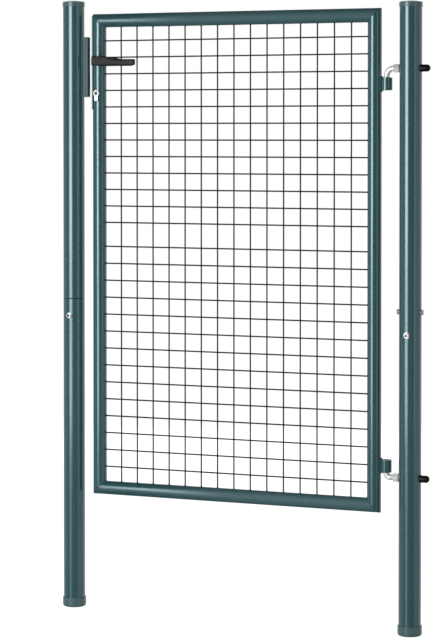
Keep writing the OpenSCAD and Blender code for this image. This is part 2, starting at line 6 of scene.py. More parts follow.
import bmesh
import bpy
import numpy as np
from mathutils import Matrix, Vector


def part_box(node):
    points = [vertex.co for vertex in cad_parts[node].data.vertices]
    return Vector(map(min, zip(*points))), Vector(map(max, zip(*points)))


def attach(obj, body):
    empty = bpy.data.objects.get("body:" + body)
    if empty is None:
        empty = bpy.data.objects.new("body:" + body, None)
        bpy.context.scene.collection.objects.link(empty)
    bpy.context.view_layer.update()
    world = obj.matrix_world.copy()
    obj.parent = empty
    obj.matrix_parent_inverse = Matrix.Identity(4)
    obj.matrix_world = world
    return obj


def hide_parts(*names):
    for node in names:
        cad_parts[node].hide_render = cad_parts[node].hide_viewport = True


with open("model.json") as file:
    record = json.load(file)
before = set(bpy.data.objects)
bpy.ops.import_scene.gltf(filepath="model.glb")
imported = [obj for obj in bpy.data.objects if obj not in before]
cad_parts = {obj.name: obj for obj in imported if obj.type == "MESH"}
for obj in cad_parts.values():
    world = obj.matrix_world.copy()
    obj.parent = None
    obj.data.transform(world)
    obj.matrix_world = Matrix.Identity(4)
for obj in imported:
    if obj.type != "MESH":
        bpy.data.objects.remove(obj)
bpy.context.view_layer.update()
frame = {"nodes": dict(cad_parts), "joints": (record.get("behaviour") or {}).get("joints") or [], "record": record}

MM = 0.001
X, Y, Z = np.eye(3)
TURN = 2 * math.pi


# Places and sizes, read from the frame

def corners(node):
    """Lowest and highest corner of a node, as arrays."""
    low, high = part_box(node)
    return np.array(low), np.array(high)


def middle(node):
    """Middle of a node's box."""
    low, high = corners(node)
    return (low + high) / 2


def ground_under(node):
    """Point at ground level under the middle of a node."""
    return np.array([*middle(node)[:2], 0])


def joint_place(name):
    """A point on the axis of a joint."""
    return np.array(next(j["pos_m"] for j in frame["joints"] if j["name"] == name))


HINGE_AXIS = joint_place("gate_swing")
HANDLE_AXIS = joint_place("handle_turn")

post_low, post_high = corners("hinge_post_lower_tube")
POST_R = (post_high[0] - post_low[0]) / 2
rail_low, rail_high = corners("top_rail")
FRAME_R = (rail_high[1] - rail_low[1]) / 2
leaf_left, leaf_right = rail_low[0], rail_high[0]
leaf_top = rail_high[2]
leaf_bottom = corners("bottom_rail")[0][2]


# Sizes of the posts; each seam has half its gap and the round of the tube ends beside it

POST_WALL = 2.0 * MM
SEAMS = {"hinge_post": (0.02 * MM, 0.25 * MM), "latch_post": (0.5 * MM, 1.2 * MM)}
CUP_CLEARANCE = 0.15 * MM
CAP_RISE = 4.0 * MM
CAP_LID = 2.5 * MM
FOOT_FLOOR = 4.0 * MM

# Sizes of the bolts through the posts

JOINT_BOLT_R = 4.0 * MM
JOINT_BOLT_SUNK = 3.0 * MM
JOINT_NUT_CLEARANCE = 0.4 * MM
HEAD_AF = 13.0 * MM
HEAD_H = 5.0 * MM
WASHER_R = 8.5 * MM
WASHER_T = 1.6 * MM
WASHER_GAP = 0.1 * MM

# Shares and angle of the cones that cut the ends of nuts and heads

HEX_CONE = math.radians(30)
HEX_CUT = 0.22
HEX_FACE = 0.97

# Sizes of the leaf's frame and mesh

FRAME_WALL = 1.5 * MM
CORNER_WELD_R = 1.5 * MM
CORNER_WELD_SUNK = 1.6 * MM
WIRE_R = 2.0 * MM
WIRE_PLANE = 1.35 * MM
WIRE_IN_TUBE = 1.0 * MM
FLARE = 1.8
FLARE_LENGTH = 2.5 * MM
NUGGET_R, NUGGET_T = 2.4 * MM, 1.5 * MM
UPRIGHTS, PITCH_X = 15, 48.7 * MM
UPPER_LEVELS, UPPER_PITCH_Z = 12, 46.1 * MM
LOWER_LEVELS, LOWER_PITCH_Z = 14, 47.5 * MM
WIDE_GAP = 67.0 * MM
WIDE_GAP_DROP = 616.0 * MM

# Sizes of the hinges

ROD_R = 8.0 * MM
ROD_TIP = 1.5 * MM
ROD_SEGMENTS = 40
UPPER_BEND_R = 20.0 * MM
LOWER_BEND_R = 12.0 * MM
THREAD_PITCH = 2.0 * MM
THREAD_DEPTH = 0.9 * MM
THREAD_STEPS = 8
THREAD_RUN_OUT = 1 * MM
THREAD_IN_NUT = 2 * MM
NUT_AF = 22.0 * MM
NUT_CLEARANCE = 0.15 * MM
SLEEVE_R = 15.0 * MM
SLEEVE_EDGE = 1.2 * MM
SLEEVE_CLEARANCE = 0.3 * MM
SLEEVE_WELD_R = 3.5 * MM
BOLT_CAP_RISE = 7.0 * MM
BOLT_CAP_FOOT = 2.8 * MM
BOLT_CAP_STEP = 0.5 * MM

# Sizes of the lock and strike; a slot has half its length, half its width and its depth

SCREW_R, SCREW_RISE = 4.0 * MM, 0.5 * MM
SCREW_SLOT = (3.2 * MM, 0.6 * MM, 1.2 * MM)
SCREW_INSET = 8.5 * MM
CORE_R, CORE_RISE = 6.0 * MM, 0.3 * MM
KEY_SLOT = (4.2 * MM, 0.9 * MM, 2.2 * MM)
PROUD = 0.05 * MM
STRIKE_WELD_R = 2.2 * MM
STRIKE_WELD_OUT = 0.6 * MM
STRIKE_WELD_INSET = 4 * MM

# Sizes of the levers; the top is (distance from the spindle, height), the back is (distance, depth)

LEVER_TOP = np.array([(33.0, 13.0), (34.0, 12.5), (37.5, 9.6), (39.0, 9.0), (66.0, 4.3), (70.0, 4.0)]) * MM
LEVER_BACK = np.array([(36.0, 24.0), (40.0, 26.5)]) * MM
LEVER_BOTTOM = -13.0 * MM
LEVER_END_R = 3.0 * MM
LEVER_EDGE_R = 2.5 * MM
LEVER_LEAST_EDGE = 0.4 * MM
LEVER_CROWN = 1.1 * MM
LEVER_STEPS = 90
NECK_R, COLLAR_R = 8 * MM, 10 * MM
NECK_START, NECK_END, COLLAR_END = 12 * MM, 21.5 * MM, 24.5 * MM

# Weld ripples and the joining of points

RIPPLE = 2.2 * MM
RIPPLE_SWELL = 0.09
RIPPLE_STEPS = 6
ALMOST_ONE = 0.999
MERGE_STEP = 0.002 * MM
CLOSED_BORE = 1e-6


# Surfaces on grids

def grid(points, close_rows=False, close_cols=False):
    """Quads over an array of (copies,) rows x columns x 3 points.

    A closed side joins its last line of points to its first.
    """
    points = np.asarray(points, float)
    if points.ndim == 3:
        points = points[None]
    count, rows, cols = points.shape[:3]
    r = np.arange(rows if close_rows else rows - 1)[:, None]
    c = np.arange(cols if close_cols else cols - 1)[None, :]
    next_r, next_c = (r + 1) % rows, (c + 1) % cols
    sides = (r * cols + c, r * cols + next_c, next_r * cols + next_c, next_r * cols + c)
    quads = np.stack(np.broadcast_arrays(*sides), axis=-1).reshape(1, -1, 4)
    quads = quads + (np.arange(count) * rows * cols)[:, None, None]
    return points.reshape(-1, 3), quads.reshape(-1, 4)


def outline(points, closed=False, steps=6):
    """Line through corner points (a, b, radius); an arc that touches both sides replaces each corner.

    A point a third of the radius beyond each end of the arc keeps the shading of the straight sides flat.
    """
    points = np.asarray(points, float)
    flat, radii = points[:, :2], points[:, 2]
    result = []
    for i, (corner, radius) in enumerate(zip(flat, radii)):
        if radius == 0 or (not closed and i in (0, len(flat) - 1)):
            result.append(corner[None])
            continue
        before = flat[i - 1] - corner
        after = flat[(i + 1) % len(flat)] - corner
        before, after = before / np.linalg.norm(before), after / np.linalg.norm(after)
        half = math.acos(np.clip(before @ after, -1, 1)) / 2
        middle_way = (before + after) / np.linalg.norm(before + after)
        centre = corner + middle_way * radius / math.sin(half)
        start = corner + before * radius / math.tan(half) - centre
        end = corner + after * radius / math.tan(half) - centre
        sweep = math.pi - 2 * half
        t = np.linspace(0, 1, steps + 1)[:, None]
        arc = centre + (start * np.sin((1 - t) * sweep) + end * np.sin(t * sweep)) / math.sin(sweep)
        hold = radius / 3
        result += [arc[:1] + hold * before, arc, arc[-1:] + hold * after]
    return np.concatenate(result)


def pipe_profile(bore, radius, bottom, top, edges):
    """Closed profile of a pipe or washer; edges are the radii of its lower and upper outer edge."""
    return outline([(bore, bottom, 0), (radius, bottom, edges[0]), (radius, top, edges[1]), (bore, top, 0)],
                   closed=True)


def ring(count):
    """Angles of a closed ring."""
    return np.arange(count) * TURN / count


def turned(profile, centre, along=Z, across=X, segments=96, closed=False):
    """Turned surface: each profile point (radius, height) goes once round the axis through centre."""
    side = np.cross(along, across)
    angle = ring(segments)[None, :, None]
    radius, height = (profile[:, i][:, None, None] for i in (0, 1))
    points = centre + radius * (np.cos(angle) * across + np.sin(angle) * side) + height * along
    return grid(points, close_rows=closed, close_cols=True)


def tube(path, side, radius, segments, closed=False):
    """Round tube: a circle of the given radius carried along a flat path, square to it.

    side is the direction square to the plane of the path. The radius may change along the path and
    round the circle.
    """
    ahead = np.roll(path, -1, axis=0) - np.roll(path, 1, axis=0)
    if not closed:
        ahead[0], ahead[-1] = path[1] - path[0], path[-1] - path[-2]
    ahead /= np.linalg.norm(ahead, axis=1, keepdims=True)
    cross = np.cross(ahead, side)
    angle = ring(segments)[None, :, None]
    circle = np.cos(angle) * cross[:, None] + np.sin(angle) * np.asarray(side)
    radius = np.broadcast_to(radius, (len(path), segments))[..., None]
    return grid(path[:, None] + radius * circle, close_rows=closed, close_cols=True)


def path_length(path):
    """Length of a line of points."""
    return np.linalg.norm(np.diff(path, axis=0), axis=1).sum()


def stations(path, places):
    """Points of a line at the given distances from its start."""
    reach = np.concatenate([[0], np.cumsum(np.linalg.norm(np.diff(path, axis=0), axis=1))])
    return np.stack([np.interp(places, reach, path[:, i]) for i in range(3)], axis=1)


def bead(path, side, radius, closed=False, segments=10):
    """Weld bead: a round tube that swells in even ripples; open ends close like quarter circles."""
    if closed:
        path = np.concatenate([path, path[:1]])
    length = path_length(path)
    ripples = round(length / RIPPLE)
    places = np.linspace(0, length, ripples * RIPPLE_STEPS + 1)
    swell = radius * (1 + RIPPLE_SWELL * np.sin(TURN * ripples * places / length))
    if closed:
        places, swell = places[:-1], swell[:-1]
    else:
        to_end = np.minimum(places, length - places)
        swell = swell * np.sqrt(1 - np.clip(1 - to_end / radius, 0, ALMOST_ONE) ** 2)
    return tube(stations(path, places), side, swell[:, None], segments, closed)


def dome(radius, rise, top, count=14):
    """Profile of a low dome: a circle through the top of the axis and through the rim, from axis to rim."""
    ball = (radius ** 2 + rise ** 2) / (2 * rise)
    out = np.linspace(0, radius, count)
    return np.stack([out, top - ball + np.sqrt(ball ** 2 - out ** 2)], axis=1)


def slotted_disc(radius, rise, slot, centre, along, across, rows=30, segments=72):
    """Screw head or key core: a low dome over polar points, with a straight slot sunk into its face.

    slot holds half the slot's length, half its width and its depth.
    """
    half_len, half_w, depth = slot
    out = np.linspace(0, radius, rows)[:, None]
    angle = ring(segments)[None, :]
    a, b = out * np.cos(angle), out * np.sin(angle)
    height = rise * (1 - (out / radius) ** 2) + 0 * angle
    inside = (np.abs(a) < half_len) & (np.abs(b) < half_w)
    height = np.where(inside, height - depth, height)
    side = np.cross(along, across)
    face = centre + a[..., None] * across + b[..., None] * side + height[..., None] * along
    skirt = face[-1:] - (rise + depth) * along
    return grid(np.concatenate([face, skirt]), close_cols=True)


def hexagon(angle, flats, sharpness=60):
    """Radius of a hexagon with lightly rounded corners.

    It is the power mean of the three distances to opposite flats, so a higher power gives sharper corners.
    """
    turns = np.arange(3) * math.pi / 3
    cosines = np.abs(np.cos(angle[..., None] - turns))
    return flats / 2 * (cosines ** sharpness).sum(axis=-1) ** (-1 / sharpness)


def hex_block(flats, height, bore, centre, along, across, both_ends=False, segments=144):
    """Nut or bolt head: a hexagon cut at its ends by a cone, with a round hole of radius bore."""
    slope = math.tan(HEX_CONE)
    fine = np.linspace(0, 1, 7) * height * HEX_CUT
    rows = np.concatenate([fine if both_ends else [0.0], height - fine[::-1]])
    angle = ring(segments)
    flank = hexagon(angle, flats)[None, :]
    face_r = flats / 2 * HEX_FACE
    cone = face_r + (height - rows)[:, None] / slope
    if both_ends:
        cone = np.minimum(cone, face_r + rows[:, None] / slope)
    radius = np.minimum(flank, cone)
    inner = np.full((1, segments), max(bore, CLOSED_BORE))
    radius = np.concatenate([inner, radius, inner])
    rows = np.concatenate([[0.0], rows, [height]])
    side = np.cross(along, across)
    spokes = np.cos(angle)[:, None] * across + np.sin(angle)[:, None] * side
    points = centre + radius[..., None] * spokes + rows[:, None, None] * along
    return grid(points, close_rows=bore > 0, close_cols=True)


def joined(patches):
    """All patches as one list of points and one of quads."""
    counts = np.cumsum([0] + [len(p) for p, _ in patches[:-1]])
    points = np.concatenate([p for p, _ in patches])
    quads = np.concatenate([q + start for (_, q), start in zip(patches, counts)])
    return points, quads


def piece(name, patches, finish, body, stands_for=(), crease=32):
    """One object from patches: points that coincide are joined, collapsed quads become triangles."""
    points, quads = joined(patches)
    keys = np.round(points / MERGE_STEP).astype(np.int64)
    _, first, index = np.unique(keys, axis=0, return_index=True, return_inverse=True)
    points, quads = points[first], index.reshape(-1)[quads]
    keep = quads != np.roll(quads, -1, axis=1)
    faces = [tuple(q[k]) for q, k in zip(quads, keep) if k.sum() > 2]
    mesh = bpy.data.meshes.new(name)
    mesh.from_pydata(points.tolist(), [], faces)
    shell = bmesh.new()
    shell.from_mesh(mesh)
    bmesh.ops.holes_fill(shell, edges=[e for e in shell.edges if e.is_boundary], sides=0)
    bmesh.ops.recalc_face_normals(shell, faces=shell.faces)
    shell.to_mesh(mesh)
    shell.free()
    mesh.polygons.foreach_set("use_smooth", np.ones(len(mesh.polygons), bool))
    mesh.set_sharp_from_angle(angle=math.radians(crease))
    mesh.materials.append(finish)
    made = bpy.data.objects.new(name, mesh)
    bpy.context.scene.collection.objects.link(made)
    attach(made, body)
    if stands_for:
        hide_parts(*stands_for)


# Shader maths

class Value:
    """A socket of a shader; arithmetic on it adds Math nodes."""

    def __init__(self, finish, socket):
        self.finish, self.socket = finish, socket

    def maths(self, operation, a, b):
        return self.finish.node("ShaderNodeMath", {"operation": operation}, {0: a, 1: b})

    def __add__(self, other):
        return self.maths("ADD", self, other)

    def __radd__(self, other):
        return self.maths("ADD", other, self)

    def __sub__(self, other):
        return self.maths("SUBTRACT", self, other)

    def __rsub__(self, other):
        return self.maths("SUBTRACT", other, self)

    def __mul__(self, other):
        return self.maths("MULTIPLY", self, other)

    def __rmul__(self, other):
        return self.maths("MULTIPLY", other, self)


class Finish:
    """One material or surround: node() adds its nodes, and surface() sets its shader's own sockets."""

    def __init__(self, tree_owner):
        tree_owner.use_nodes = True
        self.owner, self.tree = tree_owner, tree_owner.node_tree
        self.tree.nodes.clear()

    def node(self, kind, settings=None, sockets=None, output=0):
        """Add a node: settings are set first, then each socket gets a value or a link."""
        made = self.tree.nodes.new(kind)
        for key, value in (settings or {}).items():
            setattr(made, key, value)
        for key, value in (sockets or {}).items():
            if isinstance(value, Value):
                self.tree.links.new(value.socket, made.inputs[key])
            else:
                made.inputs[key].default_value = value
        return Value(self, made.outputs[output]) if made.outputs else None

    def place(self):
        """Object coordinates, in metres."""
        return self.node("ShaderNodeTexCoord", output="Object")

    def across(self):
        """Object coordinate along X, in metres."""
        return self.node("ShaderNodeSeparateXYZ", None, {0: self.place()}, output="X")

    def ray(self, kind):
        """One for rays of a kind, such as Camera, and nought for others."""
        return self.node("ShaderNodeLightPath", output="Is " + kind + " Ray")

    def noise(self, scale, detail, stretch=(1, 1, 1)):
        """Noise from 0 to 1 with about scale lumps in a metre."""
        spread = self.node("ShaderNodeMapping", None, {"Vector": self.place(), "Scale": stretch})
        return self.node("ShaderNodeTexNoise", None, {"Vector": spread, "Scale": scale, "Detail": detail})

    def ramp(self, value, start, end, low=0.0, high=1.0):
        """Smooth step from low to high while the value goes from start to end."""
        return self.node("ShaderNodeMapRange", {"interpolation_type": "SMOOTHSTEP"}, {
            "Value": value, "From Min": start, "From Max": end, "To Min": low, "To Max": high})

    def blend(self, factor, first, second):
        """Colour between two colours."""
        return self.node("ShaderNodeMix", {"data_type": "RGBA"},
                         {"Factor": factor, 6: first, 7: second}, output=2)

    def bump(self, height, distance, strength):
        """Normal of a rough surface whose height, from 0 to 1, stands for the given distance."""
        return self.node("ShaderNodeBump", None,
                         {"Height": height, "Distance": distance, "Strength": strength})

    def surface(self, **sockets):
        """Principled shader whose sockets take constants or Values, joined to the output."""
        named = {key.replace("_", " "): value for key, value in sockets.items()}
        shader = self.node("ShaderNodeBsdfPrincipled", None, named)
        self.node("ShaderNodeOutputMaterial", None, {"Surface": shader})
        return self.owner


def colour(red, green, blue):
    """Linear colour from the usual 0 to 255 numbers."""
    share = np.array([red, green, blue]) / 255
    linear = np.where(share <= 0.04045, share / 12.92, ((share + 0.055) / 1.055) ** 2.4)
    return (*linear.tolist(), 1.0)


def new_finish(name):
    """Empty finish of a new material."""
    return Finish(bpy.data.materials.new(name))


# Finishes

WHITE = (1, 1, 1, 1)
DARK_GREEN, LIGHT_GREEN = colour(35, 66, 70), colour(43, 75, 78)
# Near-black colour of the painted shade on the strike's face towards the leaf
GAP_SHADE_COLOUR = colour(12, 20, 22)
COOL_SHEEN = (0.74, 0.95, 1.0, 1.0)
GLOSSY, SATIN, DULL = 0.13, 0.2, 0.7


def green_paint(f):
    """Shade, uneven gloss and normal of the paint: a slow drift of shade and a faint orange peel."""
    shade = f.blend(f.noise(4, 3), DARK_GREEN, LIGHT_GREEN)
    uneven = 0.06 * f.noise(60, 2)
    peel = f.bump(f.noise(260, 1), 0.008 * MM, 0.4)
    return shade, uneven, peel


def powder_coat(name, shine=1.0, rough=(GLOSSY, GLOSSY), turn=(0.0, 1.0)):
    """Dark green powder coat of the tubes.

    Its roughness goes from the first value to the second between two distances from the latch end of
    the leaf.
    """
    f = new_finish(name)
    shade, uneven, peel = green_paint(f)
    along_rail = f.ramp(f.across(), leaf_left + turn[0], leaf_left + turn[1], *rough)
    return f.surface(
        Base_Color=shade,
        Roughness=along_rail + uneven,
        Specular_IOR_Level=shine,
        Specular_Tint=COOL_SHEEN,
        Normal=peel)


def strike_coat():
    """Duller powder coat of the strike; its face towards the leaf is near-black, painted shade of the narrow gap
    to the leaf.
    """
    f = new_finish("strike_coat")
    shade, uneven, peel = green_paint(f)
    # Painted shade: the face towards the leaf turns near-black and a little rougher, standing in for the shadow in
    # the gap to the leaf
    face = corners("strike_box")[1][0]
    gap_shade = f.ramp(f.across(), face - 0.4 * MM, face - 0.1 * MM)
    return f.surface(
        Base_Color=f.blend(gap_shade, shade, GAP_SHADE_COLOUR),
        Roughness=0.3 + uneven + 0.3 * gap_shade,
        Specular_IOR_Level=0.3,
        Normal=peel)


def wire_coat():
    """Thin dark coat of the mesh wires, a little duller than the tubes."""
    f = new_finish("wire_coat")
    return f.surface(
        Base_Color=f.blend(f.noise(30, 2), colour(24, 25, 32), colour(36, 37, 45)),
        Roughness=0.48 + 0.12 * f.noise(200, 2),
        Specular_IOR_Level=0.12,
        Normal=f.bump(f.noise(900, 1), 0.03 * MM, 0.5))


def cap_plastic():
    """Grey-green moulded plastic of the caps and feet, finely grained."""
    f = new_finish("cap_plastic")
    return f.surface(
        Base_Color=f.blend(f.noise(40, 3), colour(60, 81, 84), colour(72, 93, 95)),
        Roughness=0.2 + 0.08 * f.noise(300, 2),
        Specular_IOR_Level=0.6,
        Specular_Tint=COOL_SHEEN,
        Normal=f.bump(f.noise(2200, 1), 0.02 * MM, 0.5))


def zinc_plate(name, dark, light, metal):
    """Zinc plating between two greys, with cloudy patches in its shine and tint."""
    f = new_finish(name)
    return f.surface(
        Base_Color=f.blend(f.noise(140, 3), dark, light),
        Metallic=metal,
        Roughness=0.12 + 0.14 * f.noise(260, 3),
        Normal=f.bump(f.noise(1400, 2), 0.015 * MM, 0.4))


def nickel():
    """Brushed nickel of the key cylinder, scratched along X."""
    f = new_finish("nickel")
    brush = f.noise(900, 2, stretch=(0.05, 1, 1))
    return f.surface(
        Base_Color=f.blend(f.noise(80, 2), colour(188, 191, 190), colour(208, 209, 207)),
        Metallic=1.0,
        Roughness=0.34 + 0.18 * brush,
        Normal=f.bump(brush, 0.01 * MM, 0.5))


def dull_steel():
    """Dull steel of the key cores, screws and bolt ends, worn by use."""
    f = new_finish("dull_steel")
    wear = f.noise(500, 3)
    return f.surface(
        Base_Color=f.blend(wear, colour(72, 75, 76), colour(112, 114, 113)),
        Metallic=1.0,
        Roughness=0.34 + 0.2 * wear,
        Normal=f.bump(wear, 0.01 * MM, 0.5))


def black_plastic():
    """Black moulded plastic with a fine grain."""
    f = new_finish("black_plastic")
    return f.surface(
        Base_Color=f.blend(f.noise(60, 2), colour(10, 10, 12), colour(19, 19, 21)),
        Roughness=0.34 + 0.12 * f.noise(400, 2),
        Specular_IOR_Level=0.2,
        Normal=f.bump(f.noise(1800, 1), 0.02 * MM, 0.6))


FINISHES = {
    "green_paint": powder_coat("powder_coat"),
    "wire_coat": wire_coat(),
    "cap_plastic": cap_plastic(),
    "zinc": zinc_plate("zinc_plate", colour(214, 217, 220), colour(232, 231, 228), metal=0.4),
    "black_plastic": black_plastic(),
}
RAIL_FINISHES = {
    "top_rail": powder_coat("top_rail_coat", 0.8, (GLOSSY, DULL), (20 * MM, 330 * MM)),
    "bottom_rail": powder_coat("bottom_rail_coat", 1.0, (SATIN, DULL), (130 * MM, 480 * MM)),
}
STRIKE_FINISH = strike_coat()
BOLT_FINISH = zinc_plate("dull_zinc", colour(176, 180, 183), colour(206, 206, 203), metal=0.7)
KEY_FINISH = nickel()
CORE_FINISH = dull_steel()


def finish_nodes():
    """Give each node of the frame the finish of its material slot, or its own finish."""
    for row in frame["record"]["subparts"]:
        node = frame["nodes"][row["node"]]
        node.data.materials.clear()
        node.data.materials.append(FINISHES[row["material_slot"]])
    special = {
        "profile_cylinder": KEY_FINISH,
        "strike_box": STRIKE_FINISH,
        "lock_faceplate": FINISHES["green_paint"],
        # Painted shade: the joint sleeves inside the posts get the dark wire coat so that the seam gaps read dark
        "hinge_post_joint_sleeve": FINISHES["wire_coat"],
        "latch_post_joint_sleeve": FINISHES["wire_coat"],
    }
    for name, finish in special.items():
        frame["nodes"][name].data.materials[0] = finish


# Posts

def post_tube(node, seam, edge):
    """Half of a post: a tube whose end edges are rolled round.

    Half the gap of the seam is left at its ends.
    """
    low, high = corners(node)
    profile = pipe_profile(POST_R - POST_WALL, POST_R, low[2] + seam, high[2] - seam, (edge, edge))
    piece(node + "_skin", [turned(profile, ground_under(node), segments=128, closed=True)],
          FINISHES["green_paint"], "posts", [node])


def post_cap(node):
    """Cap on a post: a skirt with a rounded lip, a round shoulder and a low dome."""
    low, high = corners(node)
    radius, inner = (high[0] - low[0]) / 2, POST_R + CUP_CLEARANCE
    ceiling = high[2] - CAP_RISE - CAP_LID
    shoulder_drop, shoulder_r = 0.6 * MM, 1.0 * MM
    lip_r, inner_lip_r = 0.4 * MM, 0.2 * MM
    crown = dome(radius, CAP_RISE, high[2])[:-1]
    rim = crown[-1]
    skirt = outline([
        (*rim, 0), (radius, rim[1] - shoulder_drop, shoulder_r), (radius, low[2], lip_r),
        (inner, low[2], inner_lip_r), (inner, ceiling, 0)])
    profile = np.concatenate([crown[:-1], skirt, [[0, ceiling]]])
    piece(node + "_skin", [turned(profile, ground_under(node))],
          FINISHES["cap_plastic"], "posts", [node])


def post_foot(node):
    """Foot under a post: a cup with a round lower edge and a rim that stands off the tube."""
    low, high = corners(node)
    radius, inner = (high[0] - low[0]) / 2, POST_R + CUP_CLEARANCE
    floor = low[2] + FOOT_FLOOR
    lower_r, rim_r, inner_rim_r = 6.0 * MM, 1.2 * MM, 0.3 * MM
    lead_in, lead_depth = 0.5 * MM, 2.0 * MM
    profile = outline([
        (0, low[2], 0), (radius, low[2], lower_r), (radius, high[2], rim_r),
        (inner + lead_in, high[2], inner_rim_r), (inner, high[2] - lead_depth, 0),
        (inner, floor, 0), (0, floor, 0)])
    piece(node + "_skin", [turned(profile, ground_under(node))],
          FINISHES["cap_plastic"], "posts", [node])


def through_bolt(centre, along, across):
    """Joint bolt: a washer on each side of the post, a head behind and an open nut in front."""
    patches = []
    washer = pipe_profile(JOINT_BOLT_R, WASHER_R, 0, WASHER_T, (0.3 * MM, 0.4 * MM))
    for way in (1, -1):
        face = centre + way * along * (POST_R + WASHER_GAP)
        patches.append(turned(washer, face, way * along, across, 64, closed=True))
        head = face + way * along * WASHER_T
        bore = JOINT_BOLT_R + JOINT_NUT_CLEARANCE if way == 1 else 0
        patches.append(hex_block(HEAD_AF, HEAD_H, bore, head, way * along, across))
    return patches


def bolt_end(centre, along, across):
    """End of a joint bolt, sunk in its nut: a short turned pin with a round rim."""
    tip, rim_r = HEAD_H - JOINT_BOLT_SUNK, 0.8 * MM
    pin = outline([(0, 0, 0), (JOINT_BOLT_R, 0, 0), (JOINT_BOLT_R, tip, rim_r), (0, tip, 0)])
    return turned(pin, centre + along * (POST_R + WASHER_T), along, across, 32)


def joint_bolts():
    """Bolts at the seams: two in the hinge post, from the front and across, and one in the latch post."""
    low, high = corners("hinge_post_joint_bolts")
    post = ground_under("hinge_post_foot")
    reach = WASHER_R * Z
    front = (post + low[2] * Z + reach, -Y, X)
    cross = (post + high[2] * Z - reach, -X, Z)
    latch = (middle("latch_post_joint_bolt"), -Y, X)
    piece("hinge_post_bolt_set", through_bolt(*front) + through_bolt(*cross),
          BOLT_FINISH, "posts", ["hinge_post_joint_bolts"])
    piece("latch_post_bolt_set", through_bolt(*latch),
          BOLT_FINISH, "posts", ["latch_post_joint_bolt"])
    piece("joint_bolt_ends", [bolt_end(*spot) for spot in (front, cross, latch)],
          CORE_FINISH, "posts")


def make_posts():
    """Tubes, caps, feet and bolts of both posts."""
    for post, (seam, edge) in SEAMS.items():
        for half in ("_lower_tube", "_upper_tube"):
            post_tube(post + half, seam, edge)
        post_cap(post + "_cap")
        post_foot(post + "_foot")
    joint_bolts()


# Leaf frame and mesh

def mitred_tube(start, end, inward):
    """Frame tube: rings along the axis, slid at both ends by the radius times one plus the cosine.

    The angle is measured from the inward side, so the tube is longest on its outer side.
    """
    length = np.linalg.norm(end - start)
    way = (end - start) / length
    angle = ring(96)
    spokes = np.cos(angle)[:, None] * inward + np.sin(angle)[:, None] * np.cross(way, inward)
    cut = FRAME_R * (1 + np.cos(angle))
    bore = FRAME_R - FRAME_WALL
    inner_cut = FRAME_R + bore * np.cos(angle)
    along = np.stack([cut, length - cut, length - inner_cut, inner_cut])
    radius = np.array([FRAME_R, FRAME_R, bore, bore])
    points = start + along[..., None] * way + radius[:, None, None] * spokes
    return grid(points, close_rows=True, close_cols=True)


def make_frame():
    """Three mitred tubes of the leaf and the welds at its corners, dressed flush on the outer side.

    The latch stile keeps its own solid, which has the openings of the lock.
    """
    x0, x1 = leaf_left + FRAME_R, leaf_right - FRAME_R
    z0, z1 = leaf_bottom + FRAME_R, leaf_top - FRAME_R
    tubes = {
        "hinge_stile": (np.array([x1, 0, leaf_bottom]), np.array([x1, 0, leaf_top]), -X),
        "top_rail": (np.array([leaf_left, 0, z1]), np.array([leaf_right, 0, z1]), -Z),
        "bottom_rail": (np.array([leaf_left, 0, z0]), np.array([leaf_right, 0, z0]), Z),
    }
    for node, (start, end, inward) in tubes.items():
        finish = RAIL_FINISHES.get(node, FINISHES["green_paint"])
        piece(node + "_skin", [mitred_tube(start, end, inward)], finish, "leaf", [node])
    angle = ring(64)
    reach = FRAME_R - CORNER_WELD_SUNK * (1 - np.cos(angle)) / 2
    inward = reach * np.cos(angle)
    welds = []
    for x, side_x in ((x0, 1), (x1, -1)):
        for z, side_z in ((z0, 1), (z1, -1)):
            path = np.stack([x + side_x * inward, reach * np.sin(angle), z + side_z * inward], axis=1)
            normal = np.array([side_z, 0, -side_x]) / math.sqrt(2)
            welds.append(bead(path, normal, CORNER_WELD_R, closed=True, segments=8))
    piece("corner_welds", welds, FINISHES["green_paint"], "leaf")


def wire_stack(along, fixed, ends, depth, spots):
    """Straight wires side by side: a circle carried between two ends.

    Each wire is flared where it is welded to the frame.
    """
    places = np.array([ends[0], ends[0] + FLARE_LENGTH, ends[1] - FLARE_LENGTH, ends[1]])
    radius = np.array([FLARE, 1, 1, FLARE]) * WIRE_R
    angle = ring(12)
    points = np.zeros((len(spots), len(places), len(angle), 3))
    points[..., along] = places[None, :, None]
    points[..., fixed] = spots[:, None, None] + radius[:, None] * np.cos(angle)
    points[..., 1] = depth + radius[:, None] * np.sin(angle)
    return grid(points, close_cols=True)


def nuggets(xs, zs):
    """Spot welds of the mesh: a small flat ball at each crossing."""
    rise = np.linspace(-TURN / 4, TURN / 4, 5)[:, None]
    angle = ring(8)[None, :]
    ball = np.stack([
        NUGGET_R * np.cos(rise) * np.cos(angle), NUGGET_T * np.sin(rise) + 0 * angle,
        NUGGET_R * np.cos(rise) * np.sin(angle)], axis=-1)
    spots = np.stack([
        np.repeat(xs, len(zs)), np.zeros(len(xs) * len(zs)), np.tile(zs, len(xs))], axis=-1)
    return grid(spots[:, None, None] + ball, close_cols=True)


def make_mesh():
    """Welded mesh: upright wires behind level wires, with one wide gap between the levels."""
    mid_x = (leaf_left + leaf_right) / 2
    gap_z = leaf_top - WIDE_GAP_DROP
    xs = mid_x + (np.arange(UPRIGHTS) - (UPRIGHTS - 1) / 2) * PITCH_X
    zs = np.concatenate([
        gap_z + WIDE_GAP / 2 + np.arange(UPPER_LEVELS) * UPPER_PITCH_Z,
        gap_z - WIDE_GAP / 2 - np.arange(LOWER_LEVELS) * LOWER_PITCH_Z])
    reach = 2 * FRAME_R - WIRE_IN_TUBE
    x_ends = np.array([leaf_left + reach, leaf_right - reach])
    z_ends = np.array([leaf_bottom + reach, leaf_top - reach])
    patches = [
        wire_stack(2, 0, z_ends, WIRE_PLANE, xs),
        wire_stack(0, 2, x_ends, -WIRE_PLANE, zs),
        nuggets(xs, zs),
    ]
    piece("mesh_wires", patches, FINISHES["wire_coat"], "leaf", ["mesh_panel"])


# Hinges

